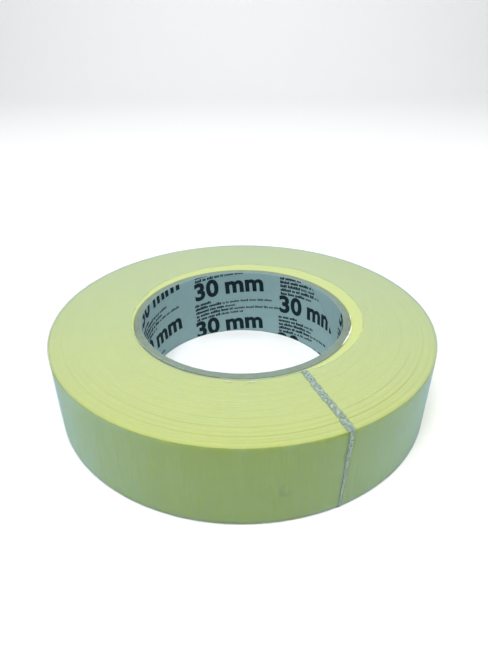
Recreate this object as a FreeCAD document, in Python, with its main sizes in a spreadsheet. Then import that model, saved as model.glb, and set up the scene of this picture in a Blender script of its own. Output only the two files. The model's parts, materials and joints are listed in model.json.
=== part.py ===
import FreeCAD, Part

import os

import Sketcher
from FreeCAD import Placement, Rotation, Vector

# Roll of crepe masking tape on a 76 mm paperboard core, sealed in shrink film.
# It lies flat: +Z is its axis, and the origin is on the axis, in the plane that
# the roll rests on. Lengths are in millimetres and azimuths in degrees from +X.
DRIVING_SIZES = (
    ("bore_radius", 38.0, "inside of the core's printed liner"),
    ("liner_thick", 0.15, "printed paper liner, the core's innermost ply"),
    ("board_thick", 0.48, "one ply of grey board"),
    ("outer_ply_thick", 0.2, "smooth paper ply that the tape is wound on"),
    ("ply_gap", 0.3, "gap at a ply's butt joint, measured along the axis"),
    ("ply_lead", 200.0, "how far a ply's strip climbs in one turn"),
    ("core_width", 30.4, "width of the core, which stands level with the film"),
    ("tape_width", 30.0, "width of the tape"),
    ("tape_thick", 0.21, "one turn: creped paper and its adhesive"),
    ("tape_turns", 143.0, "turns on the roll, which is about 50 m of tape"),
    ("end_gap", 0.6, "by how much the outermost turn stops short of a full one"),
    ("end_azimuth", 100.0, "where the tape's free end is"),
    ("film_thick", 0.15, "shrink film"),
    ("film_slack", 0.1, "gap between the tape and the film's wall and upper lip"),
    ("opening_radius", 44.3, "hole that the film leaves round the core, above and below"),
    ("opening_shift_x", 2.0, "how far along +X the centre of the upper hole is"),
    ("opening_shift_y", 2.8, "how far along +Y the centre of the upper hole is"),
    ("seam_width", 2.2, "welded seam of the film"),
    ("seam_proud", 0.1, "how far the seam stands out of the film's wall"),
    ("seam_start", 41.6, "distance from the axis to the seam's upper end"),
    ("seam_azimuth", -65.5, "where the seam is"),
    ("cut_margin", 1.0, "how far a cutting tool passes what it cuts"),
)
BOARD_PLIES = 5
LINER_JOINT_AZIMUTH = -14.0
JOINT_STEP = 137.0
Z_AXIS = Vector(0, 0, 1)


class Size:
    """A size: its value now, and the expression that binds it to the sheet."""

    def __init__(self, value, text):
        self.value = float(value)
        self.text = text

    def __add__(self, other):
        other = as_size(other)
        return Size(self.value + other.value, f"({self.text} + {other.text})")

    def __sub__(self, other):
        return self + -as_size(other)

    def __mul__(self, factor):
        factor = as_size(factor)
        return Size(self.value * factor.value, f"({self.text} * {factor.text})")

    def __truediv__(self, divisor):
        return Size(self.value / divisor.value, f"({self.text} / {divisor.text})")

    def __neg__(self):
        return Size(-self.value, f"(-1 * {self.text})")


def as_size(number):
    return number if isinstance(number, Size) else Size(number, str(number))


def make_sheet(doc):
    """Fills the sheet of driving sizes, and returns them by name."""
    sheet = doc.addObject("Spreadsheet::Sheet", "sizes")
    for row, (alias, value, note) in enumerate(DRIVING_SIZES, start=1):
        sheet.set(f"A{row}", note)
        sheet.set(f"B{row}", str(value))
        sheet.setAlias(f"B{row}", alias)
    doc.recompute()
    return {alias: Size(sheet.get(alias), f"sizes.{alias}") for alias, _, _ in DRIVING_SIZES}


def bind(thing, **sizes):
    """Binds properties of a document object to the sheet."""
    for name, size in sizes.items():
        thing.setExpression(name, as_size(size).text)


def put(thing, height, azimuth):
    """Places an object at a height above the origin, turned about the roll's axis."""
    azimuth = as_size(azimuth)
    thing.Placement = Placement(Vector(), Rotation(Z_AXIS, azimuth.value))
    thing.setExpression(".Placement.Base.z", as_size(height).text)
    if azimuth.value:
        thing.setExpression(".Placement.Rotation.Angle", azimuth.text)


# ---- sketches ----


def new_body(doc, label):
    body = doc.addObject("PartDesign::Body", label)
    body.Label = label
    return body


def new_sketch(body, name, plane="XY_Plane"):
    sketch = body.newObject("Sketcher::SketchObject", name)
    origin_plane = next(f for f in body.Origin.OriginFeatures if f.Role == plane)
    sketch.AttachmentSupport = (origin_plane, [""])
    sketch.MapMode = "FlatFace"
    return sketch


def pin_point(sketch, geometry, point, x, y):
    """Fixes one point of a sketch at (x, y), both bound to the sheet."""
    for kind, size in (("DistanceX", x), ("DistanceY", y)):
        at = sketch.addConstraint(
            Sketcher.Constraint(kind, -1, 1, geometry, point, size.value)
        )
        sketch.setExpression(f"Constraints[{at}]", size.text)


def draw_circle(sketch, radius, centre=None):
    """A circle about the sketch's origin, or about a centre given as a pair of sizes."""
    middle = Vector(centre[0].value, centre[1].value, 0) if centre else Vector()
    circle = sketch.addGeometry(Part.Circle(middle, Z_AXIS, radius.value))
    if centre:
        pin_point(sketch, circle, 3, *centre)
    else:
        sketch.addConstraint(Sketcher.Constraint("Coincident", circle, 3, -1, 1))
    at = sketch.addConstraint(Sketcher.Constraint("Radius", circle, radius.value))
    sketch.setExpression(f"Constraints[{at}]", radius.text)


def draw_polygon(sketch, corners):
    """A closed outline of straight lines through corners given as pairs of sizes."""
    corners = [(as_size(x), as_size(y)) for x, y in corners]
    points = [Vector(x.value, y.value, 0) for x, y in corners]
    lines = [
        sketch.addGeometry(Part.LineSegment(a, b))
        for a, b in zip(points, points[1:] + points[:1])
    ]
    for line, following in zip(lines, lines[1:] + lines[:1]):
        sketch.addConstraint(Sketcher.Constraint("Coincident", line, 2, following, 1))
    for line, (x, y) in zip(lines, corners):
        pin_point(sketch, line, 1, x, y)


# ---- the core ----


def core_ply(doc, label, inner, outer, joint_azimuth, s):
    """One ply: a strip of paper wound into a tube, with its helical butt joint."""
    body = new_body(doc, label)
    ring = new_sketch(body, f"{label}_ring")
    draw_circle(ring, inner)
    draw_circle(ring, outer)
    tube = body.newObject("PartDesign::Pad", f"{label}_tube")
    tube.Profile = ring
    bind(tube, Length=s["core_width"])
    doc.recompute()
    whole = tube.Shape.Volume

    section = new_sketch(body, f"{label}_joint_section", "XZ_Plane")
    near, far = inner - s["cut_margin"], outer + s["cut_margin"]
    low = -s["cut_margin"]
    high = low + s["ply_gap"]
    draw_polygon(section, ((near, low), (far, low), (far, high), (near, high)))
    joint = body.newObject("PartDesign::SubtractiveHelix", f"{label}_butt_joint")
    joint.Profile = section
    joint.ReferenceAxis = (section, ["V_Axis"])
    joint.Mode = "pitch-height-angle"
    bind(joint, Pitch=s["ply_lead"], Height=s["core_width"] + s["cut_margin"] * 2)
    doc.recompute()
    if not 0.98 * whole < joint.Shape.Volume < whole:
        raise RuntimeError(f"the butt joint of {label} is not cut as it should be")
    turn_below_core = s["cut_margin"] * 360 / s["ply_lead"]
    put(body, 0, as_size(joint_azimuth) - turn_below_core)
    return body


def make_core(doc, s):
    """The printed liner, the board plies and the outer ply, from the bore outwards."""
    plies = [("core_printed_liner", s["liner_thick"])]
    plies += [(f"core_board_ply_{n}", s["board_thick"]) for n in range(1, BOARD_PLIES + 1)]
    plies += [("core_outer_ply", s["outer_ply_thick"])]
    made = []
    inner = s["bore_radius"]
    for n, (label, thick) in enumerate(plies):
        azimuth = LINER_JOINT_AZIMUTH + JOINT_STEP * n
        made.append(core_ply(doc, label, inner, inner + thick, azimuth, s))
        inner = inner + thick
    return made, inner


# ---- the tape ----


def spiral_disc(doc, name, radius, s):
    """A disc bounded by one turn of the tape's spiral. It is two half discs: the
    second is centred half a thickness over and is that much larger, so that the
    edge ends one thickness further out than it began."""
    halves = []
    half_thick = s["tape_thick"] / as_size(2)
    for side, azimuth, grown in (("rear", 0, as_size(0)), ("front", 180, half_thick)):
        half = doc.addObject("Part::Cylinder", f"{name}_{side}")
        half.Angle = 180.0
        put(half, 0, azimuth)
        bind(half, Radius=radius + grown, Height=s["tape_width"])
        half.setExpression(".Placement.Base.x", grown.text)
        halves.append(half)
    disc = doc.addObject("Part::Fuse", name)
    disc.Base, disc.Tool = halves
    return disc


def cut(doc, name, base, tool):
    result = doc.addObject("Part::Cut", name)
    result.Base = base
    result.Tool = tool
    return result


def make_tape(doc, core_radius, s):
    """The wound turns, and the outermost turn with the tape's free end."""
    outermost = core_radius + s["tape_thick"] * (s["tape_turns"] - 1)
    wound_disc = spiral_disc(doc, "wound_disc", outermost - s["tape_thick"], s)
    whole_disc = spiral_disc(doc, "whole_disc", outermost, s)

    core_room = doc.addObject("Part::Cylinder", "core_room")
    bind(core_room, Radius=core_radius, Height=s["tape_width"])
    winding = cut(doc, "tape_winding", wound_disc, core_room)

    end_cut = doc.addObject("Part::Box", "end_cut")
    margin = s["cut_margin"]
    bind(
        end_cut,
        Length=s["tape_thick"] + margin * 2,
        Width=s["end_gap"],
        Height=s["tape_width"] + margin * 2,
    )
    for axis, size in (("x", outermost - margin), ("y", -s["end_gap"]), ("z", -margin)):
        end_cut.setExpression(f".Placement.Base.{axis}", size.text)
    last_turn = cut(doc, "last_turn", whole_disc, wound_disc)
    outer_turn = cut(doc, "tape_outer_turn", last_turn, end_cut)
    for piece in (winding, outer_turn):
        put(piece, s["film_thick"], s["end_azimuth"])
    return [winding, outer_turn]


# ---- the shrink film ----


def film_section(sketch, wall, height, thick, lower_start, upper_start):
    """Half of the film's section: a wall, given by its inner and outer radius, with a
    lip turned in at each end."""
    inside, outside = wall
    draw_polygon(
        sketch,
        (
            (lower_start, 0),
            (outside, 0),
            (outside, height),
            (upper_start, height),
            (upper_start, height - thick),
            (inside, height - thick),
            (inside, thick),
            (lower_start, thick),
        ),
    )


def round_corner(doc, body, feature, radius, levels, corner):
    """Fillets the edges that run round the roll at a radius and at two levels."""

    def on_corner(vertex):
        point = vertex.Point
        off_radius = abs((point.x**2 + point.y**2) ** 0.5 - radius.value)
        off_level = min(abs(point.z - level.value) for level in levels)
        return off_radius < 0.01 and off_level < 0.001

    edges = [
        f"Edge{n}"
        for n, edge in enumerate(feature.Shape.Edges, start=1)
        if edge.BoundBox.ZLength < 0.001 and all(map(on_corner, edge.Vertexes))
    ]
    fillet = body.newObject("PartDesign::Fillet", f"{feature.Name}_corner")
    fillet.Base = (feature, edges)
    bind(fillet, Radius=corner)
    doc.recompute()
    return fillet


def round_film(doc, body, feature, wall, height, s):
    """Rounds the film's outer corners, and then its inner ones, which the slack
    leaves clear of the tape's edges."""
    inside, outside = wall
    thick, slack = s["film_thick"], s["film_slack"]
    outer = round_corner(doc, body, feature, outside, (as_size(0), height), thick + slack)
    round_corner(doc, body, outer, inside, (thick, height - thick), slack)


def pocket(doc, body, sketch, name, depth=None, upward=False):
    """A pocket of a depth, or through everything both ways, that must cut something."""
    before = body.Shape.Volume
    feature = body.newObject("PartDesign::Pocket", name)
    feature.Profile = sketch
    if depth is None:
        feature.Type = "ThroughAll"
        feature.Midplane = True
    else:
        feature.Reversed = upward
        bind(feature, Length=depth)
    doc.recompute()
    if not feature.Shape.Volume < before:
        raise RuntimeError(f"{name} cuts nothing")


def make_sleeve(doc, inside, height, s):
    """The film: a shell with a hole in each side, and a slot that its seam fills."""
    body = new_body(doc, "film_sleeve")
    thick, margin = s["film_thick"], s["cut_margin"]
    wall = (inside, inside + thick)
    lip_start = s["bore_radius"]
    section = new_sketch(body, "sleeve_section", "XZ_Plane")
    film_section(section, wall, height, thick, lip_start, lip_start)
    shell = body.newObject("PartDesign::Revolution", "sleeve_shell")
    shell.Profile = section
    shell.ReferenceAxis = (section, ["V_Axis"])
    shell.Angle = 360.0
    doc.recompute()
    round_film(doc, body, shell, wall, height, s)

    upper = new_sketch(body, "upper_opening_circle")
    upper.setExpression(".AttachmentOffset.Base.z", (height + margin).text)
    draw_circle(upper, s["opening_radius"], (s["opening_shift_x"], s["opening_shift_y"]))
    pocket(doc, body, upper, "upper_opening", thick + margin * 2)
    lower = new_sketch(body, "lower_opening_circle")
    lower.setExpression(".AttachmentOffset.Base.z", (-margin).text)
    draw_circle(lower, s["opening_radius"])
    pocket(doc, body, lower, "lower_opening", thick + margin * 2, upward=True)

    slot = new_sketch(body, "seam_slot_outline")
    slot.AttachmentOffset = Placement(Vector(), Rotation(Z_AXIS, s["seam_azimuth"].value))
    half = s["seam_width"] / as_size(2)
    far = inside + margin
    draw_polygon(slot, ((lip_start, -half), (far, -half), (far, half), (lip_start, half)))
    pocket(doc, body, slot, "seam_slot")
    return body


def make_seam(doc, inside, height, s):
    """The welded strip that fills the slot and stands a little out of the wall."""
    body = new_body(doc, "film_seam")
    thick = s["film_thick"]
    wall = (inside, inside + thick + s["seam_proud"])
    section = new_sketch(body, "seam_section", "XZ_Plane")
    film_section(section, wall, height, thick, s["opening_radius"], s["seam_start"])
    strip = body.newObject("PartDesign::Pad", "seam_strip")
    strip.Profile = section
    strip.Midplane = True
    bind(strip, Length=s["seam_width"])
    doc.recompute()
    round_film(doc, body, strip, wall, height, s)
    put(body, 0, s["seam_azimuth"])
    return body


# ---- the roll ----


def check(doc, parts):
    for thing in doc.Objects:
        if "Invalid" in thing.State or "Error" in thing.State:
            raise RuntimeError(f"{thing.Name} failed: {thing.State}")
    for part in parts:
        if part.Shape.isNull() or not part.Shape.isValid() or not part.Shape.Solids:
            raise RuntimeError(f"{part.Label} has no valid solid")


def main():
    doc = FreeCAD.newDocument("masking_tape_roll")
    s = make_sheet(doc)
    core, core_radius = make_core(doc, s)
    tape = make_tape(doc, core_radius, s)
    inside = core_radius + s["tape_thick"] * s["tape_turns"] + s["film_slack"]
    height = s["tape_width"] + s["film_slack"] + s["film_thick"] * 2
    film = [make_sleeve(doc, inside, height, s), make_seam(doc, inside, height, s)]
    doc.recompute()
    parts = core + tape + film
    check(doc, parts)
    os.makedirs("parts", exist_ok=True)
    for part in parts:
        part.Shape.exportStep(f"parts/{part.Label}.step")
        box = part.Shape.optimalBoundingBox(False)
        print(
            f"{part.Label}: {len(part.Shape.Solids)} solid, {part.Shape.Volume:.1f} mm3,"
            f" x {box.XMin:.2f} to {box.XMax:.2f}, z {box.ZMin:.2f} to {box.ZMax:.2f}"
        )


main()
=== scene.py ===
import json
import math

import bmesh
import bpy
import numpy as np
from mathutils import Matrix, Vector


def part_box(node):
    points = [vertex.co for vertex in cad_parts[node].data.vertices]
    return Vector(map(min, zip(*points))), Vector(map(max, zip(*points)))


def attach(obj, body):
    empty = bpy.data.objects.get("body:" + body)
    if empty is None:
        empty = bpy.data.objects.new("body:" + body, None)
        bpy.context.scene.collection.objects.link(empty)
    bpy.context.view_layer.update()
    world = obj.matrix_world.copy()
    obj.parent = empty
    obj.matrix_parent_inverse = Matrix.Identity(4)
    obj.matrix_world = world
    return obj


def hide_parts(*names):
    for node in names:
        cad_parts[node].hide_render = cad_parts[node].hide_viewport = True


# A roll of crepe masking tape, sealed in shrink film, lying flat on a pale floor.
# Lengths are in millimetres and azimuths in degrees from +X, until make_object()
# turns them into metres.
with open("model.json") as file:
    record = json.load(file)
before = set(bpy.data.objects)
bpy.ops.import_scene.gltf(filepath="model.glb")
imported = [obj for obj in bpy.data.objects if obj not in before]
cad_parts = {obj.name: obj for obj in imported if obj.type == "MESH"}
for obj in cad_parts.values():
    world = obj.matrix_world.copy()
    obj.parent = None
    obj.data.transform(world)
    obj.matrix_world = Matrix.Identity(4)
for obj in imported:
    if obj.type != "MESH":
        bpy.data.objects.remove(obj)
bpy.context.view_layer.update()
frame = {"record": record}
MM = 0.001


def round_size(node):
    """Outer radius, lowest and highest level of a round CAD node, in millimetres."""
    low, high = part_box(node)
    return high.y / MM, low.z / MM, high.z / MM


PLIES = ["core_printed_liner"] + [f"core_board_ply_{n}" for n in range(1, 6)]
PLIES += ["core_outer_ply"]
BORE = next(m for m in frame["record"]["mounts"] if m["name"] == "core_bore")["dims"]["r_mm"]
CORE_RADIUS, CORE_LOW, CORE_HIGH = round_size("core_outer_ply")
TAPE_RADIUS, TAPE_LOW, TAPE_HIGH = round_size("tape_outer_turn")

# ---- the object's own measures that the frame doesn't give ----

PLY_LEAD = 200.0  # how far a ply's strip climbs in one turn
PLY_GAP = 0.35  # its butt joint's gap, measured round the core
LINER_JOINT = -14.0  # where the liner's joint meets the bottom of the core
JOINT_STEP = 137.0  # from one ply's joint to the next one's
TAPE_THICK = 0.21
FREE_END = 100.0  # azimuth of the tape's free end
END_GAP = 0.5  # by how many degrees the outermost turn stops short of a full one
# The radii where turns stand apart enough to show, and how strongly, both in depth and in painted shade
GROOVES = {46.6: 0.3, 49.1: 0.3, 55.4: 0.25, 58.7: 0.7, 62.2: 1.0, 64.3: 0.4, 66.0: 1.0, 68.4: 0.6}
GROOVE_SIDE = 285.0  # azimuth where they show the most
GROOVE_DEPTH = 0.13
GROOVE_HALF = 0.45  # half the width of a groove
LINE_HALF = 0.08  # and of the line between two groups of turns
HIGHEST_TURN = 0.03  # the most that a turn stands above the rest
SMUDGE = (278.5, 11.7)  # azimuth and level of a faint smudge on the outermost turn
FILM_THICK = 0.04
FILM_REACH = 0.10  # from the tape to the film's outer face
FILM_TOP = TAPE_HIGH + FILM_REACH
FILM_WALL = TAPE_RADIUS + FILM_REACH
FILM_FOOT = 0.012
FILM_CORNER = 0.12
UPPER_OPENING = (43.8, 2.04, 2.81)  # radius, and the centre's X and Y
LOWER_OPENING = (44.3, 0.0, 0.0)

# ---- numbers ----


def smooth_noise(seed, shape, grain):
    """Noise of unit strength that wraps round along both axes. grain is the size of
    its features along each axis, in samples."""
    spectrum = np.fft.rfft2(np.random.default_rng(seed).standard_normal(shape))
    rows = np.fft.fftfreq(shape[0])[:, None] * grain[0]
    columns = np.fft.rfftfreq(shape[1])[None, :] * grain[1]
    spectrum *= np.exp(-2 * math.pi**2 * (rows**2 + columns**2))
    noise = np.fft.irfft2(spectrum, shape)
    return (noise - noise.mean()) / noise.std()


def line_noise(seed, count, grain):
    """smooth_noise along a single axis."""
    return smooth_noise(seed, (count, 1), (grain, 1))[:, 0]


def bump(x, centre, width):
    """A smooth bump of height 1."""
    return np.exp(-(((x - centre) / width) ** 2))


def turned(angle, centre):
    """An azimuth less another, from -180 to 180 degrees."""
    return (angle - centre + 180) % 360 - 180


def polar(radius, azimuth, level):
    """Points from radii, azimuths and levels, which may be arrays of one shape."""
    radius, azimuth, level = np.broadcast_arrays(radius, azimuth, level)
    angle = np.radians(azimuth)
    return np.stack([radius * np.cos(angle), radius * np.sin(angle), level], axis=-1)


def circle_edge(circle, azimuth):
    """Distance from the axis to a circle that need not be centred on it."""
    radius, x, y = circle
    angle = np.radians(azimuth)
    along = x * np.cos(angle) + y * np.sin(angle)
    aside = x * np.sin(angle) - y * np.cos(angle)
    return along + np.sqrt(radius**2 - aside**2)


# ---- meshes and objects ----


def make_object(name, points, faces, material, slot, replaced=None, shades=None):
    """A mesh object that rides on the roll. shades is a number for each point, which
    its material reads as the attribute shade."""
    mesh = bpy.data.meshes.new(name)
    mesh.from_pydata((np.asarray(points).reshape(-1, 3) * MM).tolist(), [], faces)
    if shades is not None:
        attribute = mesh.attributes.new("shade", "FLOAT", "POINT")
        attribute.data.foreach_set("value", np.asarray(shades, np.float32).ravel())
    work = bmesh.new()
    work.from_mesh(mesh)
    bmesh.ops.recalc_face_normals(work, faces=work.faces)
    work.to_mesh(mesh)
    work.free()
    mesh.shade_smooth()
    mesh.materials.append(material)
    made = bpy.data.objects.new(name, mesh)
    bpy.context.scene.collection.objects.link(made)
    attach(made, "root")
    if replaced:
        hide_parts(replaced)
    return made


def sweep(name, outer, inner, material, slot, closed=True, **options):
    """A solid through a row of outlines. Outline i runs along outer[i] and back along
    inner[i], which has as many points. The row of outlines closes on itself, or else
    its two ends are capped."""
    sections = np.concatenate([outer, inner[:, ::-1]], axis=1)
    rows, count = sections.shape[:2]
    at = np.arange(rows * count).reshape(rows, count)
    here, there = (at, np.roll(at, -1, axis=0)) if closed else (at[:-1], at[1:])
    corners = [here, np.roll(here, -1, axis=1), np.roll(there, -1, axis=1), there]
    faces = np.stack(corners, axis=-1).reshape(-1, 4).tolist()
    if not closed:
        for end in (at[0], at[-1]):
            for j in range(count // 2 - 1):
                faces.append([end[j], end[j + 1], end[-2 - j], end[-1 - j]])
    return make_object(name, sections, faces, material, slot, **options)


def bead(name, azimuth, radius, level, size, material, slot, closed=True):
    """A thin rod round the roll, whose radius and size vary along it."""
    half = np.radians(np.linspace(0, 157.5, 8))[None, :]
    sides = []
    for angle in (half, half[:, ::-1] + math.pi):
        across = radius[:, None] + size[:, None] * np.cos(angle)
        height = level[:, None] + 0.8 * size[:, None] * np.sin(angle)
        sides.append(polar(across, azimuth[:, None], height))
    return sweep(name, sides[0], sides[1], material, slot, closed)


# ---- materials ----


class Shader:
    """A node material under construction. Each method adds a node, sets its inputs to
    numbers or to the outputs of earlier nodes, and returns its output."""

    def __init__(self, name):
        self.material = bpy.data.materials.new(name)
        self.material.use_nodes = True
        self.tree = self.material.node_tree
        self.tree.nodes.clear()
        self.out = self.tree.nodes.new("ShaderNodeOutputMaterial")
        metres = self.tree.nodes.new("ShaderNodeTexCoord").outputs["Object"]
        self.place = self.vector("SCALE", metres, Scale=1 / MM)

    def node(self, kind, settings, inputs, output=0):
        made = self.tree.nodes.new(kind)
        for key, value in settings.items():
            setattr(made, key, value)
        for key, value in inputs.items():
            socket = made.inputs[key.replace("_", " ") if isinstance(key, str) else key]
            if isinstance(value, bpy.types.NodeSocket):
                self.tree.links.new(value, socket)
            else:
                socket.default_value = value
        return made.outputs[output]

    def math(self, operation, *values):
        return self.node("ShaderNodeMath", {"operation": operation}, dict(enumerate(values)))

    def vector(self, operation, *values, output=0, **inputs):
        inputs = {**dict(enumerate(values)), **inputs}
        return self.node("ShaderNodeVectorMath", {"operation": operation}, inputs, output)

    def join(self, x, y, z):
        return self.node("ShaderNodeCombineXYZ", {}, {"X": x, "Y": y, "Z": z})

    def noise(self, vector, scale, detail=3.0, roughness=0.55):
        """Perlin noise, from 0 to 1. scale is in features a millimetre."""
        inputs = {"Vector": vector, "Scale": scale, "Detail": detail, "Roughness": roughness}
        return self.node("ShaderNodeTexNoise", {}, inputs, "Fac")

    def range(self, value, low, high, to_low=0.0, to_high=1.0):
        """value, rescaled from one range to another and held inside it."""
        return self.node("ShaderNodeMapRange", {}, {0: value, 1: low, 2: high, 3: to_low, 4: to_high})

    def mix(self, share, a, b):
        """The colour a, mixed towards b by share."""
        a, b = ((*colour, 1) if isinstance(colour, tuple) else colour for colour in (a, b))
        return self.node("ShaderNodeMix", {"data_type": "RGBA"}, {0: share, 6: a, 7: b}, 2)

    def bump(self, height, distance, strength=1.0, **normal):
        """A normal from a height that runs from 0 to 1 over distance, in millimetres."""
        inputs = {"Height": height, "Distance": distance * MM, "Strength": strength, **normal}
        return self.node("ShaderNodeBump", {}, inputs)

    def shade(self):
        return self.node("ShaderNodeAttribute", {"attribute_name": "shade"}, {}, "Fac")

    def around(self, radial, along, axial):
        """A place stretched by a factor in each of the roll's own directions. The
        second is in features a millimetre round the roll's outside."""
        parts = self.node("ShaderNodeSeparateXYZ", {}, {"Vector": self.place}, 0).node.outputs
        flat = self.join(parts["X"], parts["Y"], 0.0)
        distance = self.vector("LENGTH", flat, output="Value")
        way = self.vector("SCALE", self.vector("NORMALIZE", flat), Scale=TAPE_RADIUS * along)
        rise = self.math("MULTIPLY", parts["Z"], axial)
        out = self.math("MULTIPLY", distance, radial)
        return self.vector("ADD", way, self.join(0.0, 0.0, self.math("ADD", rise, out)))

    def principled(self, **inputs):
        return self.node("ShaderNodeBsdfPrincipled", {}, inputs)

    def clear(self, colour):
        return self.node("ShaderNodeBsdfTransparent", {}, {"Color": (*colour, 1)})

    def blend(self, share, a, b):
        """The shader a, mixed towards b by share."""
        return self.node("ShaderNodeMixShader", {}, {0: share, 1: a, 2: b})

    def finish(self, shader):
        self.tree.links.new(shader, self.out.inputs["Surface"])
        return self.material


TAPE_EDGE = (0.53, 0.60, 0.17)


def tape_edge_material():
    """The sides of the wound turns: pale yellow, with a fine line for each turn. The attribute shade is
    painted shade, darkest in the grooves between turns."""
    s = Shader("tape_edge")
    rings = s.noise(s.around(4.8, 0.07, 0), 1.0, 2.0)
    bands = s.noise(s.around(0.4, 0.03, 0), 1.0, 3.0)
    fibre = s.noise(s.place, 4.0, 4.0)
    mottle = s.noise(s.place, 0.8, 3.0, 0.65)
    strokes = s.noise(s.around(0.5, 1, 0), 0.9, 3.0, 0.6)
    cloud = s.noise(s.place, 0.06, 3.0)
    colour = s.mix(s.range(rings, 0.3, 0.7), (0.506, 0.571, 0.147), (0.559, 0.631, 0.173))
    colour = s.mix(s.range(bands, 0.35, 0.7, 0, 0.5), colour, (0.546, 0.586, 0.127))
    colour = s.mix(s.range(cloud, 0.4, 0.65, 0, 0.3), colour, (0.502, 0.586, 0.169))
    colour = s.mix(s.range(mottle, 0.40, 0.70, 0, 0.55), colour, (0.462, 0.540, 0.137))
    colour = s.mix(s.range(strokes, 0.40, 0.70, 0, 0.5), colour, (0.545, 0.610, 0.215))
    colour = s.mix(s.range(fibre, 0.5, 0.8, 0, 0.4), colour, (0.616, 0.674, 0.217))
    # Darker, more saturated olive where shade is high: painted shade in the grooves.
    colour = s.mix(s.math("MULTIPLY", s.shade(), 0.95), colour, (0.431, 0.471, 0.055))
    normal = s.bump(rings, 0.04, 0.7)
    normal = s.bump(fibre, 0.04, 0.8, Normal=normal)
    rough = s.range(fibre, 0.3, 0.7, 0.62, 0.8)
    # A blue sheen at a slant: partly the paper's own sheen, partly a painted tint of bluish light.
    sheen = {"Sheen Weight": 0.45, "Sheen Roughness": 0.6, "Sheen Tint": (0.20, 0.36, 1.0, 1)}
    return s.finish(s.principled(Base_Color=colour, Roughness=rough, Normal=normal, IOR=1.4, **sheen))


def crepe_material():
    """The tape's back: creped paper, wrinkled across the tape's length. shade marks
    the strip's cut edges."""
    s = Shader("crepe_paper")
    folds = s.noise(s.around(0, 1, 0.12), 1.6, 3.0, 0.6)
    broad = s.noise(s.around(0, 1, 0.3), 0.12, 2.0)
    fibre = s.noise(s.place, 5.0, 4.0)
    # These colours are darker and greener than the tape's top: partly the crepe's own colour, partly
    # painted shade on the wall.
    colour = s.mix(s.range(folds, 0.3, 0.7), (0.249, 0.349, 0.051), (0.297, 0.411, 0.067))
    colour = s.mix(s.range(broad, 0.35, 0.65, 0, 0.4), colour, (0.262, 0.354, 0.046))
    colour = s.mix(s.range(fibre, 0.5, 0.8, 0, 0.3), colour, (0.332, 0.437, 0.083))
    far = s.vector("DISTANCE", s.place, tuple(polar(TAPE_RADIUS, *SMUDGE)), output="Value")
    smudge = s.math("MULTIPLY", s.range(far, 1, 5, 1, 0), s.range(s.noise(s.place, 0.5, 4.0), 0.42, 0.6))
    colour = s.mix(s.math("MULTIPLY", smudge, 0.4), colour, (0.148, 0.183, 0.044))
    colour = s.mix(s.shade(), colour, TAPE_EDGE)
    normal = s.bump(folds, 0.10, 0.8)
    normal = s.bump(fibre, 0.03, 0.5, Normal=normal)
    rough = s.range(folds, 0.3, 0.7, 0.55, 0.72)
    return s.finish(s.principled(Base_Color=colour, Roughness=rough, Normal=normal, IOR=1.42))


def board_material(name, dark, pale):
    """Board: recycled fibres in layers, with specks."""
    s = Shader(name)
    layers = s.noise(s.around(3.0, 0.3, 0), 0.6, 3.0)
    fibre = s.noise(s.place, 3.0, 5.0, 0.65)
    specks = s.noise(s.place, 2.2, 1.0)
    stains = s.noise(s.place, 0.35, 3.0)
    colour = s.mix(s.range(fibre, 0.3, 0.7), dark, pale)
    colour = s.mix(s.range(layers, 0.35, 0.65, 0, 0.35), colour, dark)
    colour = s.mix(s.range(stains, 0.45, 0.7, 0, 0.4), colour, (0.20, 0.23, 0.12))
    colour = s.mix(s.range(specks, 0.68, 0.74, 0, 0.5), colour, (0.08, 0.08, 0.05))
    normal = s.bump(fibre, 0.08, 0.9)
    return s.finish(s.principled(Base_Color=colour, Roughness=0.88, Normal=normal, IOR=1.35))


def liner_material():
    """Smooth pale printing paper, a little mottled by the board under it."""
    s = Shader("liner_paper")
    fibre = s.noise(s.place, 2.5, 5.0, 0.6)
    mottle = s.noise(s.place, 0.25, 3.0)
    colour = s.mix(s.range(fibre, 0.3, 0.7), (0.211, 0.344, 0.360), (0.260, 0.400, 0.411))
    colour = s.mix(s.range(mottle, 0.35, 0.7, 0, 0.4), colour, (0.195, 0.328, 0.352))
    normal = s.bump(fibre, 0.03, 0.7)
    normal = s.bump(mottle, 0.15, 0.5, Normal=normal)
    rough = s.range(fibre, 0.3, 0.7, 0.5, 0.62)
    return s.finish(s.principled(Base_Color=colour, Roughness=rough, Normal=normal, IOR=1.45))


def ink_material():
    """Flexographic ink: nearly black, thin where the paper's fibres stand out."""
    s = Shader("print_ink")
    fibre = s.noise(s.place, 3.5, 5.0, 0.65)
    colour = s.mix(s.range(fibre, 0.55, 0.85, 0, 0.4), (0.003, 0.015, 0.022), (0.03, 0.07, 0.09))
    normal = s.bump(fibre, 0.02, 0.5)
    look = {"Roughness": 0.85, "Specular IOR Level": 0.2}
    return s.finish(s.principled(Base_Color=colour, Normal=normal, **look))


def film_material():
    """Clear film: it lets through what it doesn't mirror, and mirrors more at a slant
    and where it was pulled smooth."""
    s = Shader("shrink_film")
    pulled = s.noise(s.around(0.2, 1, 0.15), 0.5, 3.0)
    soft = s.noise(s.place, 0.12, 2.0)
    normal = s.bump(pulled, 0.05, 0.6)
    rough = s.range(soft, 0.35, 0.65, 0.12, 0.22)
    # The gloss is tinted blue: a painted tint of bluish light in the film's reflections.
    inputs = {"Color": (0.42, 0.64, 1.0, 1), "Roughness": rough, "Normal": normal}
    gloss = s.node("ShaderNodeBsdfGlossy", {}, inputs)
    inputs = {"Blend": 0.5, "Normal": normal}
    facing = s.node("ShaderNodeLayerWeight", {}, inputs, "Facing")
    mirrored = s.range(s.math("POWER", facing, 2.0), 0, 1, 0.01, 0.21)
    mirrored = s.math("MULTIPLY", mirrored, s.range(pulled, 0.3, 0.7, 0.8, 1.2))
    return s.finish(s.blend(mirrored, s.clear((0.974, 0.974, 0.974)), gloss))


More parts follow.
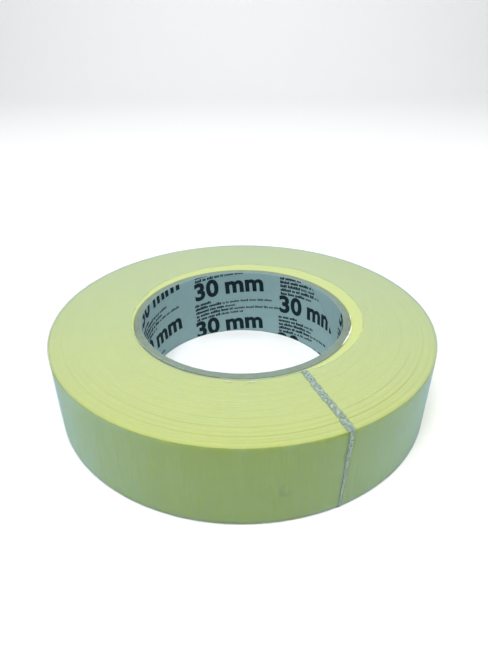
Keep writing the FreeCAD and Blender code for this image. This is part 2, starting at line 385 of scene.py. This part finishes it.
def crumpled_film_material(name, dark, pale, least_clear, most_clear, grain=1.6):
    """Film that is crumpled and thick, so that it is milky, with sharp glints from its bumps and small
    pale spots of painted glint. Where shade is high it is thin and clear."""
    s = Shader(name)
    crumple = s.noise(s.place, grain, 4.0, 0.6)
    colour = s.mix(s.range(crumple, 0.3, 0.7), dark, pale)
    # Pale spots where the crumple noise is highest: painted glints.
    colour = s.mix(s.range(crumple, 0.62, 0.70), colour, (0.74, 0.80, 0.78))
    normal = s.bump(crumple, 0.12, 0.9)
    body = s.principled(Base_Color=colour, Roughness=0.16, Normal=normal, IOR=1.5)
    share = s.math("MAXIMUM", s.range(crumple, 0.3, 0.7, most_clear, least_clear), s.shade())
    return s.finish(s.blend(share, body, s.clear((0.93, 0.96, 0.96))))


def paper_edge_material():
    """The torn edge of white paper."""
    s = Shader("torn_paper")
    fibre = s.noise(s.place, 5.0, 4.0, 0.65)
    colour = s.mix(s.range(fibre, 0.3, 0.7), (0.66, 0.74, 0.60), (0.84, 0.88, 0.76))
    normal = s.bump(fibre, 0.06, 0.8)
    return s.finish(s.principled(Base_Color=colour, Roughness=0.8, Normal=normal, IOR=1.4))


def floor_material():
    """Plain pale card."""
    s = Shader("pale_floor")
    grain = s.noise(s.place, 0.3, 3.0)
    colour = s.mix(s.range(grain, 0.3, 0.7), (0.88, 0.88, 0.88), (0.90, 0.90, 0.90))
    return s.finish(s.principled(Base_Color=colour, Roughness=0.8))


# ---- the core ----


def make_ply(node, inner, outer, joint, sunk, material, slot, seed):
    """One ply as the helical strip that it is. Its edges at both ends of the core are
    a little crowned and uneven, where the tube was cut to length."""
    columns, rows = 360, 30
    share = np.linspace(0, 1, columns)[:, None]
    levels = np.linspace(CORE_LOW + sunk, CORE_HIGH - sunk, rows)[None, :]
    gap = math.degrees(PLY_GAP / outer)
    azimuth = joint + 360 * levels / PLY_LEAD + gap / 2 + share * (360 - gap)
    level = np.repeat(levels, columns, axis=0)
    ragged = 0.035 * np.abs(smooth_noise(seed, (columns, 2), (1.2, 0.1)))
    level[:, 0] += ragged[:, 0]
    level[:, -1] -= ragged[:, 1]
    eased = np.zeros(rows)
    eased[[0, -1]] = 0.12 * (outer - inner)
    crown = np.array([-0.05, 0.05])
    level = np.concatenate([level[:, :1], level, level[:, -1:]], axis=1)
    level[:, [0, -1]] = np.maximum(level[:, [0, -1]] + crown, 0)
    azimuth = np.concatenate([azimuth[:, :1], azimuth, azimuth[:, -1:]], axis=1)
    middle = (inner + outer) / 2
    sides = []
    for radius, way in ((outer, 1), (inner, -1)):
        wall = np.concatenate([[middle + way * 0.01], radius - way * eased, [middle + way * 0.01]])
        sides.append(polar(wall[None, :], azimuth, level))
    name = node.replace("core_", "shown_")
    sweep(name, sides[0], sides[1], material, slot, closed=False, replaced=node)


def make_core():
    """The core's plies, from its printed liner outwards."""
    board = board_material("grey_board", (0.195, 0.255, 0.205), (0.275, 0.345, 0.285))
    # The outer ply is coloured dark olive: painted shade of the narrow gap between the core and the
    # tape, not the paper's own colour.
    gap_shaded_wrap = board_material("wrap_paper_painted_gap_shade", (0.125, 0.155, 0.085), (0.19, 0.23, 0.125))
    finishes = [(liner_material(), "liner_paper")] + [(board, "grey_board")] * (len(PLIES) - 2)
    finishes += [(gap_shaded_wrap, "outer_paper")]
    inner = BORE
    for n, (node, (material, slot)) in enumerate(zip(PLIES, finishes)):
        outer = round_size(node)[0]
        joint = LINER_JOINT + JOINT_STEP * n
        sunk = 0.2 if slot == "outer_paper" else 0.0
        make_ply(node, inner, outer, joint, sunk, material, slot, 40 + n)
        inner = outer


FRAYS = ((-22.3, 10.3, 0.60), (-3.7, 3.7, 0.30))  # azimuth, half its length in degrees, thickness
FRAY_OUT = 0.10  # how far a sliver's middle lies past the core


def make_frays():
    """Slivers of the core's white paper that stand out past its rim."""
    paper = paper_edge_material()
    for n, (middle, half, thick) in enumerate(FRAYS):
        share = np.linspace(-1, 1, 60)
        azimuth = middle + half * share
        size = thick / 2 * np.sqrt(np.clip(1 - share**2, 0.01, 1))
        size *= 1 + 0.15 * line_noise(70 + n, len(share), 2)
        radius = CORE_RADIUS + FRAY_OUT + 0.3 * share * thick
        level = np.full_like(share, CORE_HIGH + 0.02)
        bead(f"core_fray_{n + 1}", azimuth, radius, level, size, paper, "outer_paper", closed=False)


# ---- the liner's print ----

MARK = "30 mm"
MARK_LENGTH = 32.0
MARK_BOLDNESS = 0.038  # how far its strokes are widened, at a font size of 1
PRINT_SLOPE = 5.0  # degrees that the lines rise
COLUMNS = 6
MARK_PITCH = 19.5  # between the marks of one column
COLUMN_DROP = 6.4  # from one column to the next
FIRST_MARK = (44.3, 19.0)  # left end of a mark's baseline, on the unrolled liner
PRINT_START = 190.0  # azimuth of the unrolled liner's left edge
INK_THICK = 0.02
LINE_PITCH = 1.85
FIRST_LINE = -3.4  # from a mark's baseline to its first line of small print
# Each line of small print as its length and the share of it that is bold
BLOCKS = (
    ((7.0, 1.0), (32.5, 0.35), (15.0, 0.7), (38.0, 0.32), (21.0, 0.5)),
    ((7.5, 1.0), (18.5, 0.5), (15.0, 0.6), (27.0, 0.55), (13.5, 0.5)),
)


def size_mark():
    """The outlines of a size mark in bold figures, as flat faces with its baseline on
    the X axis: a list of points and a list of faces."""
    text = bpy.data.curves.new("size_mark", "FONT")
    text.body = MARK
    text.resolution_u = 4
    text.offset = MARK_BOLDNESS
    text.space_character = 1.04
    text.space_word = 0.75
    holder = bpy.data.objects.new("size_mark", text)
    bpy.context.scene.collection.objects.link(holder)
    flat = bpy.data.meshes.new_from_object(holder)
    points = np.array([v.co[:2] for v in flat.vertices])
    faces = [list(p.vertices) for p in flat.polygons]
    bpy.data.objects.remove(holder)
    bpy.data.meshes.remove(flat)
    points[:, 0] -= points[:, 0].min()
    return points * MARK_LENGTH / points[:, 0].max(), faces


def small_print(block, rng):
    """Lines of made-up letters, each a small block, below the origin."""
    points, faces = [], []
    for n, (length, bold) in enumerate(block):
        x, base = -0.8, FIRST_LINE - LINE_PITCH * n
        while x < length:
            heavy = x < bold * length
            for _ in range(rng.integers(2, 9)):
                width = rng.uniform(0.55, 0.8) if heavy else rng.uniform(0.35, 0.55)
                height = rng.choice([0.85, 0.85, 1.15]) * (1.2 if heavy else 0.95)
                start = len(points)
                points += [(x, base), (x + width, base)]
                points += [(x + width, base + height), (x, base + height)]
                faces.append([start, start + 1, start + 2, start + 3])
                x += width + (0.09 if heavy else 0.16)
            x += 0.5
    return np.array(points), faces


def print_layout():
    """All the print on the unrolled liner, as flat faces."""
    rng = np.random.default_rng(11)
    mark = size_mark()
    slope = math.radians(PRINT_SLOPE)
    tilt = np.array([[math.cos(slope), math.sin(slope)], [-math.sin(slope), math.cos(slope)]])
    pitch = 2 * math.pi * BORE / COLUMNS + 0.08
    points, faces, total = [], [], 0
    for column in range(-4, COLUMNS):
        for row in range(-4, 5):
            offset = (column * pitch, row * MARK_PITCH - column * COLUMN_DROP)
            place = np.array(FIRST_MARK) + offset
            if not -8 < place[1] < CORE_HIGH + 14:
                continue
            for part_points, part_faces in (mark, small_print(BLOCKS[column % 2], rng)):
                points.append(part_points @ tilt + place)
                faces += [[total + v for v in face] for face in part_faces]
                total += len(part_points)
    return np.concatenate(points), faces


def cut_flat(work, point, normal, clear):
    """Cuts the mesh along a plane. clear removes what lies on the normal's side of it."""
    geometry = list(work.verts) + list(work.edges) + list(work.faces)
    bmesh.ops.bisect_plane(
        work, geom=geometry, dist=1e-5, plane_co=point, plane_no=normal, clear_outer=clear
    )


def trim_print(work, margin=0.3, strip=1.2):
    """Cuts the print to the liner's strip, and into strips narrow enough to roll up."""
    round_length = 2 * math.pi * BORE
    joint = (PRINT_START - LINER_JOINT) * round_length / 360
    climb = PLY_LEAD / round_length
    for x, side in ((joint - margin, 1), (joint - round_length + margin, -1)):
        cut_flat(work, (x, 0, 0), Vector((climb, 1, 0)) * side, True)
    cut_flat(work, (0, CORE_LOW + margin, 0), (0, -1, 0), True)
    cut_flat(work, (0, CORE_HIGH - margin, 0), (0, 1, 0), True)
    across = [v.co.x for v in work.verts]
    for x in np.arange(min(across), max(across), strip):
        cut_flat(work, (x, 0, 0), (1, 0, 0), False)
    loose = [v for v in work.verts if not v.link_faces]
    bmesh.ops.delete(work, geom=loose, context="VERTS")
    work.verts.index_update()


def make_print():
    """The print, rolled up inside the core, with the thickness of a layer of ink."""
    points, faces = print_layout()
    flat = bpy.data.meshes.new("flat_print")
    flat.from_pydata([(x, y, 0) for x, y in points], [], faces)
    work = bmesh.new()
    work.from_mesh(flat)
    trim_print(work)
    shape = np.array([v.co for v in work.verts])
    azimuth = PRINT_START - np.degrees(shape[:, 0] / BORE)
    count = len(shape)
    ink = [polar(BORE + lift, azimuth, shape[:, 1]) for lift in (-INK_THICK, INK_THICK / 2)]
    solid = []
    for face in work.faces:
        around = [v.index for v in face.verts]
        solid.append(around)
        solid.append([v + count for v in reversed(around)])
    for edge in work.edges:
        if len(edge.link_faces) == 1:
            a, b = (v.index for v in edge.verts)
            solid.append([a, b, b + count, a + count])
    work.free()
    bpy.data.meshes.remove(flat)
    made = make_object("liner_print", np.concatenate(ink), solid, ink_material(), "liner_paper")
    made.data.shade_flat()


# ---- the tape ----


def turn_groups(rng, outermost):
    """The winding's side from the core outwards: radius, height and painted shade at the corners of
    groups of turns that stand a little high or low, with narrow grooves between them. The painted shade
    is darkest down in the grooves."""
    edges = [CORE_RADIUS]
    while edges[-1] < outermost - 1.3:
        edges.append(edges[-1] + rng.uniform(0.4, 1.2))
    edges = [e for e in edges[1:] if min(abs(e - g) for g in GROOVES) > 0.6]
    corners = [(CORE_RADIUS + 0.02, 0.0, 0.0)]
    high = 0.0
    for edge in sorted(edges + list(GROOVES)):
        strength = GROOVES.get(edge, 0)
        depth = GROOVE_DEPTH * strength if strength else rng.uniform(0.01, 0.05)
        width = GROOVE_HALF if strength else LINE_HALF
        after = min(0.05, rng.normal(0, 0.02) + 0.04 * strength)
        corners.append((edge - width, high, 0.0))
        # A groove's bottom carries its painted shade: the listed strength, or four times the depth.
        corners.append((edge, min(high, after) - depth, strength or depth * 4))
        corners.append((edge + width, after, 0.0))
        high = after
    corners.append((outermost + TAPE_THICK, high, 0.0))
    return np.array(corners).T


def make_winding(material):
    """The wound turns. Both sides have grooves, which show most towards the front."""
    columns = 400
    outermost = TAPE_RADIUS - TAPE_THICK * 2
    share = np.linspace(0, 1, columns, endpoint=False)[:, None]
    azimuth = FREE_END + 360 * share
    radius, level, groove_shade = turn_groups(np.random.default_rng(5), outermost)
    depth = (radius - CORE_RADIUS) / (outermost - CORE_RADIUS)
    wander = 0.12 * line_noise(6, columns, 18)[:, None] * np.clip(4 * depth * (1 - depth), 0, 1)
    radius = radius + wander
    radius[:, -1:] = outermost - 0.01 + TAPE_THICK * share
    shown = smooth_noise(8, (columns, groove_shade.size), (25, 1.5))
    shown = np.clip(0.7 + 0.35 * shown, 0.05, 1.2)
    shown = shown * (0.2 + 0.8 * bump(turned(azimuth, GROOVE_SIDE), 0, 75))
    level = np.minimum(level * shown, HIGHEST_TURN)
    top = polar(radius, azimuth, TAPE_HIGH + level)
    bottom = polar(radius, azimuth, TAPE_LOW + 0.03 - level * 0.8)
    # Painted shade in the grooves, which the material reads as the attribute shade.
    shades = np.concatenate([groove_shade * shown, (groove_shade * shown)[:, ::-1]], axis=1)
    sweep("wound_tape", bottom, top, material, "crepe_tape", replaced="tape_winding", shades=shades)


def make_outer_turn(material):
    """The outermost turn, from where it leaves the winding to its free end, which
    lifts a little. The creping makes its edges uneven."""
    columns, rows = 1400, 22
    share = np.linspace(0, 1, columns)[:, None]
    azimuth = FREE_END + (360 - END_GAP) * share
    level = np.linspace(TAPE_LOW + 0.06, TAPE_HIGH - 0.06, rows - 2)
    level = np.tile(np.concatenate([[TAPE_LOW], level, [TAPE_HIGH]]), (columns, 1))
    uneven = 0.025 * smooth_noise(23, (columns, 2), (1.5, 0.1))
    level[:, 0] += np.clip(uneven[:, 0], -0.04, 0.05)
    level[:, -1] += np.clip(uneven[:, 1], -0.05, 0.04)
    folds = smooth_noise(21, (columns, rows), (1.1, 9)) + 0.6 * smooth_noise(22, (columns, rows), (4, 5))
    lift = 0.05 * np.clip((share - 0.995) / 0.005, 0, 1) ** 2
    inner = TAPE_RADIUS - TAPE_THICK * (2 - share) + lift
    outer = inner + TAPE_THICK - 0.05 + 0.02 * np.clip(folds, -2.2, 2.2)
    eased = np.zeros(rows)
    eased[[0, -1]] = 0.05
    shades = np.zeros((columns, 2 * rows))
    shades[:, [0, rows - 1, rows, -1]] = 1
    sides = [polar(outer - eased, azimuth, level), polar(inner + eased, azimuth, level)]
    sweep(
        "outermost_turn", sides[0], sides[1], material, "crepe_tape",
        closed=False, replaced="tape_outer_turn", shades=shades,
    )


# ---- the film ----

LIP = np.array([0, 0.006, 0.014, 0.025, 0.04, 0.06, 0.085, 0.12, 0.18, 0.27, 0.4, 0.6, 0.8, 1])
CREASES = (-95.8, -86.1)  # azimuths of two small creases in the upper lip
CREASE_RADIUS = 42.5
CREASE_ARC = 1.7  # half the length of a crease, in degrees
CREASE_HALF = 0.17  # half its width
RIM_WIDEST = -126.0  # azimuth where the upper edge is rolled up the most


def rough_edge(circle, azimuth, seed, strength):
    """An opening's uneven edge, as distances from the axis."""
    count = len(azimuth)
    edge = circle_edge(circle, azimuth) + strength * line_noise(seed, count, 14)
    return edge + 0.10 * line_noise(seed + 1, count, 2.5)


def upper_lip(azimuth, edge):
    """Radius and level of the film's upper lip. It climbs over the core's rim where it
    reaches that far, and is puckered near its edge."""
    inside = FILM_WALL - FILM_CORNER
    radius = edge[:, None] + (inside - edge[:, None]) * LIP[None, :]
    puckers = np.clip(1 + smooth_noise(35, radius.shape, (3, 1.2)), 0, 3)
    level = FILM_TOP + 0.03 * puckers * np.exp(-LIP / 0.05)[None, :]
    over_core = np.clip((CORE_RADIUS + 0.9 - radius) / 0.8, 0, 1)
    level += (CORE_HIGH + 0.08 - FILM_TOP) * over_core**2 * (3 - 2 * over_core)
    for crease in CREASES:
        level += 0.1 * bump(turned(azimuth, crease), 0, 1.6)[:, None] * bump(radius, CREASE_RADIUS, 0.5)
    return radius, level


def film_path(azimuth, upper, lower):
    """Radius and level of the film's outer face, from its upper edge outwards, down
    the wall and back to its lower edge."""
    count = len(azimuth)
    inside = FILM_WALL - FILM_CORNER
    top_radius, top_level = upper_lip(azimuth, upper)
    bend = np.radians(np.arange(22.5, 90, 22.5))
    rest = np.ones((count, 1))
    wall_rows = 14
    wall_level = np.linspace(FILM_TOP - FILM_CORNER, FILM_FOOT + FILM_CORNER, wall_rows)
    sway = 0.014 * smooth_noise(37, (count, wall_rows), (5, 4))
    sway += 0.005 * smooth_noise(38, (count, wall_rows), (1.2, 6))
    low_radius = lower[:, None] + (inside - lower[:, None]) * LIP[None, ::-1]
    radius = np.concatenate(
        [
            top_radius,
            rest * (inside + FILM_CORNER * np.sin(bend)),
            FILM_WALL + np.clip(sway, -0.04, 0.04),
            rest * (inside + FILM_CORNER * np.cos(bend)),
            low_radius,
        ],
        axis=1,
    )
    level = np.concatenate(
        [
            top_level,
            rest * (FILM_TOP - FILM_CORNER * (1 - np.cos(bend))),
            rest * wall_level,
            rest * (FILM_FOOT + FILM_CORNER * (1 - np.sin(bend))),
            np.full_like(low_radius, FILM_FOOT),
        ],
        axis=1,
    )
    return radius, level


def make_film(material):
    """The film as one thin shell. It returns where the edges of its openings lie."""
    columns = 900
    azimuth = np.linspace(0, 360, columns, endpoint=False)
    upper = rough_edge(UPPER_OPENING, azimuth, 31, 0.22)
    lower = rough_edge(LOWER_OPENING, azimuth, 33, 0.25)
    radius, level = film_path(azimuth, upper, lower)
    out = np.gradient(radius, axis=1)
    down = np.gradient(level, axis=1)
    length = np.hypot(out, down)
    inner_radius = radius + FILM_THICK * down / length
    inner_level = level - FILM_THICK * out / length
    outer = polar(radius, azimuth[:, None], level)
    inner = polar(inner_radius, azimuth[:, None], inner_level)
    sweep("film_wrap", outer, inner, material, "clear_film", replaced="film_sleeve")
    return azimuth, upper, level[:, 0], lower


def make_rims(azimuth, upper, upper_level, lower):
    """The film's edges, rolled up as they shrank: thin uneven beads. The upper one is
    widest where it lies over the core."""
    rolled = crumpled_film_material("rolled_film", (0.56, 0.66, 0.54), (0.66, 0.76, 0.66), 0.6, 0.85)
    count = len(azimuth)
    uneven = np.clip(1 + 0.3 * line_noise(61, count, 3) + 0.3 * line_noise(62, count, 12), 0.4, 2)
    on_core = bump(turned(azimuth, RIM_WIDEST), 0, 65)
    size = (0.05 + 0.07 * on_core) * uneven
    bead("film_upper_rim", azimuth, upper, upper_level + 0.01, size, rolled, "clear_film")
    size = 0.07 * np.clip(1 + 0.4 * line_noise(63, count, 5), 0.4, 2)
    bead("film_lower_rim", azimuth, lower, FILM_FOOT + size, size, rolled, "clear_film")


def make_creases():
    """Two small creases of the upper lip, where the film is doubled over. Their pale milky colour is
    partly the doubled film's own haze and partly painted glint.
    """
    folded_with_glint = crumpled_film_material("folded_film_and_painted_glint", (0.66, 0.76, 0.60), (0.84, 0.92, 0.76), 0.1, 0.4)
    for n, middle in enumerate(CREASES):
        share = np.linspace(-1, 1, 24)
        azimuth = middle + CREASE_ARC * share
        size = CREASE_HALF * np.sqrt(np.clip(1 - share**2, 0.02, 1))
        radius = CREASE_RADIUS + 0.08 * line_noise(66 + n, len(share), 3)
        level = np.full_like(share, FILM_TOP + 0.08)
        name = f"film_crease_glint_{n + 1}"
        bead(name, azimuth, radius, level, size, folded_with_glint, "clear_film", closed=False)


# ---- the welded seam ----

SEAM_TOP = (41.6, -61.9)  # radius and azimuth of its upper end
SEAM_SHOULDER = -65.0  # azimuth where it turns over the roll's edge
SEAM_FOOT = -66.0  # and where it reaches the bottom


def seam_legs():
    """The weld's middle line across the top, down the wall and along the bottom: rows
    of a point, the direction that it faces, half its width, how proud it stands and
    how clear it is."""
    rows = []
    wall = FILM_WALL + 0.05
    start = polar(SEAM_TOP[0], SEAM_TOP[1], FILM_TOP + 0.02)
    end = polar(FILM_WALL - 0.08, SEAM_SHOULDER, FILM_TOP + 0.02)
    for t in np.linspace(0, 1, 220):
        rows.append((start + (end - start) * t, (0, 0, 1), 1.35 + 0.1 * t, 0.10, 0.15))
    for t in np.linspace(0, 1, 140):
        azimuth = SEAM_SHOULDER + (SEAM_FOOT - SEAM_SHOULDER) * t**1.4
        point = polar(wall, azimuth, FILM_TOP - 0.08 + (0.15 + 0.08 - FILM_TOP) * t)
        rows.append((point, polar(1, azimuth, 0), 1.3 - 0.65 * t, 0.03, 0.45))
    for t in np.linspace(0, 1, 60):
        radius = FILM_WALL - 0.12 + (LOWER_OPENING[0] + 0.3 - FILM_WALL) * t
        rows.append((polar(radius, SEAM_FOOT, 0.06), (0, 0, -1), 0.6, 0.02, 0.3))
    return [np.array(column) for column in zip(*rows)]


def make_seam():
    """The film's weld: a crumpled strip, thin and clear at its ragged edges."""
    weld = crumpled_film_material("welded_film", (0.15, 0.25, 0.24), (0.55, 0.66, 0.57), 0.3, 0.7, 1.5)
    points, out, half, proud, clear = seam_legs()
    count, across = len(points), np.linspace(-1, 1, 17)[None, :]
    along = np.gradient(points, axis=0)
    side = np.cross(along, out)
    side /= np.linalg.norm(side, axis=1)[:, None]
    crumple = smooth_noise(51, (count, across.size), (1.1, 1.1))
    ragged = 1 + 0.07 * smooth_noise(52, (count, 2), (2, 0.1))
    width = half[:, None] * np.where(across < 0, ragged[:, :1], ragged[:, 1:])
    sway = 0.06 * line_noise(53, count, 8)[:, None]
    height = proud[:, None] * (1 - across**4) * np.clip(0.7 + 0.5 * crumple, 0.1, 2.0)
    offset = (across * width + sway)[..., None] * side[:, None]
    face = points[:, None] + offset + out[:, None] * height[..., None]
    back = points[:, None] + offset - out[:, None] * 0.02
    for surface in (face, back):
        surface[..., 2] = np.maximum(surface[..., 2], 0.005)
    shades = np.clip(clear[:, None] + np.clip(np.abs(across) - 0.4, 0, 1) * 1.5, 0, 0.97)
    shades = np.concatenate([shades, shades[:, ::-1]], axis=1)
    sweep(
        "welded_seam", face, back, weld, "clear_film",
        closed=False, replaced="film_seam", shades=shades,
    )


# ---- the studio ----

CAMERA_DISTANCE = 207.0
CAMERA_ELEVATION = 36.9
CAMERA_YAW = -0.184
CAMERA_PITCH = 6.086
CAMERA_ROLL = 0.244
FOCAL_LENGTH = 27.59
SENSOR = 36.0


def turn(vector, axis, degrees):
    """A vector turned about an axis."""
    return Matrix.Rotation(math.radians(degrees), 3, axis) @ vector


def make_camera():
    """The camera looks down at the roll, aimed a little above its centre."""
    elevation = math.radians(CAMERA_ELEVATION)
    place = Vector((0, -math.cos(elevation), math.sin(elevation))) * CAMERA_DISTANCE * MM
    forward = -place.normalized()
    right = Vector((1, 0, 0))
    up = right.cross(forward)
    forward, right = turn(forward, up, CAMERA_YAW), turn(right, up, CAMERA_YAW)
    forward, up = turn(forward, right, CAMERA_PITCH), turn(up, right, CAMERA_PITCH)
    right, up = turn(right, forward, CAMERA_ROLL), turn(up, forward, CAMERA_ROLL)
    lens = bpy.data.cameras.new("camera")
    lens.sensor_width = SENSOR
    lens.lens = FOCAL_LENGTH
    lens.clip_start = 0.01
    camera = bpy.data.objects.new("camera", lens)
    axes = Matrix((right, up, -forward)).transposed()
    camera.matrix_world = Matrix.Translation(place) @ axes.to_4x4()
    bpy.context.scene.collection.objects.link(camera)
    bpy.context.scene.camera = camera


def make_floor():
    """A floor that sweeps up into a backdrop behind the roll."""
    half_width, front, reach, bend, height = 2600.0, -2200.0, 900.0, 500.0, 2400.0
    profile = [(front, 0.0)]
    for angle in np.radians(np.linspace(0, 90, 13)):
        profile.append((reach + bend * math.sin(angle), bend * (1 - math.cos(angle))))
    profile.append((reach + bend, height))
    points, faces = [], []
    for y, z in profile:
        points += [(-half_width, y, z), (half_width, y, z)]
    for n in range(len(profile) - 1):
        faces.append([2 * n, 2 * n + 1, 2 * n + 3, 2 * n + 2])
    mesh = bpy.data.meshes.new("floor")
    mesh.from_pydata((np.array(points) * MM).tolist(), [], faces)
    mesh.shade_smooth()
    mesh.materials.append(floor_material())
    floor = bpy.data.objects.new("floor", mesh)
    bpy.context.scene.collection.objects.link(floor)


def make_lamp(name, place, aim, size, power):
    """An area lamp. place, aim and size are in metres, and power in watts."""
    light = bpy.data.lights.new(name, "AREA")
    light.shape = "RECTANGLE"
    light.size, light.size_y = size
    light.energy = power
    lamp = bpy.data.objects.new(name, light)
    facing = (Vector(aim) - Vector(place)).to_track_quat("-Z", "Y").to_matrix().to_4x4()
    lamp.matrix_world = Matrix.Translation(place) @ facing
    bpy.context.scene.collection.objects.link(lamp)


def make_world(lit=0.22, seen=0.95):
    """A dim even sky. Where the camera sees it directly it is brighter than the light
    that it gives, so that it shows as a pale wall past the backdrop."""
    world = bpy.data.worlds.new("studio")
    world.use_nodes = True
    tree = world.node_tree
    sky = tree.nodes["Background"]
    sky.inputs["Color"].default_value = (0.93, 0.97, 1.0, 1)
    strength = tree.nodes.new("ShaderNodeMapRange")
    strength.inputs["To Min"].default_value = lit
    strength.inputs["To Max"].default_value = seen
    path = tree.nodes.new("ShaderNodeLightPath")
    tree.links.new(path.outputs["Is Camera Ray"], strength.inputs["Value"])
    tree.links.new(strength.outputs["Result"], sky.inputs["Strength"])
    return world


def make_light():
    """A soft lamp over the front, one on each side, and one for the backdrop."""
    make_lamp("overhead", (-0.08, -0.3, 0.75), (0, 0, 0), (0.4, 0.4), 6.1)
    for side, power in ((-0.7, 1.3), (0.7, 1.7)):
        make_lamp("side_light", (side, 0.0, 0.2), (0, 0, 0.02), (0.4, 0.4), power)
    make_lamp("backdrop_light", (0, 0.3, 1.2), (0, 1.3, 0.6), (2.0, 0.6), 13)
    bpy.context.scene.world = make_world()
    bpy.context.scene.view_settings.view_transform = "Standard"


# ---- all of it ----


def main():
    make_camera()
    make_floor()
    make_light()
    make_core()
    make_frays()
    make_print()
    make_winding(tape_edge_material())
    make_outer_turn(crepe_material())
    make_rims(*make_film(film_material()))
    make_creases()
    make_seam()


main()
